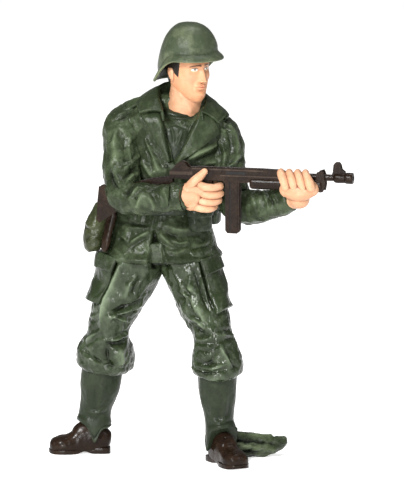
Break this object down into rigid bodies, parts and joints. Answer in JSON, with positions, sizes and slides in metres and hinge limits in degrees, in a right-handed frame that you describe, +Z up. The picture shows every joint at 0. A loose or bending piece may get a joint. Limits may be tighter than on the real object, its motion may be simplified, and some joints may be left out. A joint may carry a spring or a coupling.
{
  "type": "action figure",
  "caption": "Standing toy soldier figurine in helmet and field uniform, holding a toy gun across the body; the head turns at the neck.",
  "frame": {"origin": "the middle of the bounding box, on the floor under the boots", "axes": "+Z up; the figure's chest faces -Y; its left hand and the gun's muzzle point to +X"},
  "size_m": [0.0606, 0.0296, 0.0882],
  "materials": {
    "green_pvc": "painted satin green",
    "dark_green_pvc": "painted satin dark green",
    "skin_pvc": "painted matt skin colour",
    "brown_pvc": "painted satin dark brown"
  },
  "bodies": {
    "figure": {"torso": "green_pvc", "trousers": "green_pvc", "belt": "dark_green_pvc", "ammo_pouch": "dark_green_pvc", "side_pouch": "dark_green_pvc", "canteen": "green_pvc", "scabbard": "brown_pvc", "right_arm": "green_pvc", "left_arm": "green_pvc", "right_hand": "skin_pvc", "left_hand": "skin_pvc", "gun_body": "brown_pvc", "gun_stock": "brown_pvc", "gun_magazine": "brown_pvc", "gun_foregrip": "brown_pvc", "right_legging": "green_pvc", "left_legging": "green_pvc", "right_boot": "brown_pvc", "left_boot": "brown_pvc", "ground_tuft": "green_pvc"},
    "head": {"head": "skin_pvc", "helmet": "green_pvc"}
  },
  "joints": [
    {"name": "neck_swivel", "type": "hinge", "parent": "figure", "child": "head", "pos_m": [-0.00373, 0.0062, 0.069], "axis": [0.128, -0.1182, 0.9847], "range_deg": [-40, 25]}
  ]
}
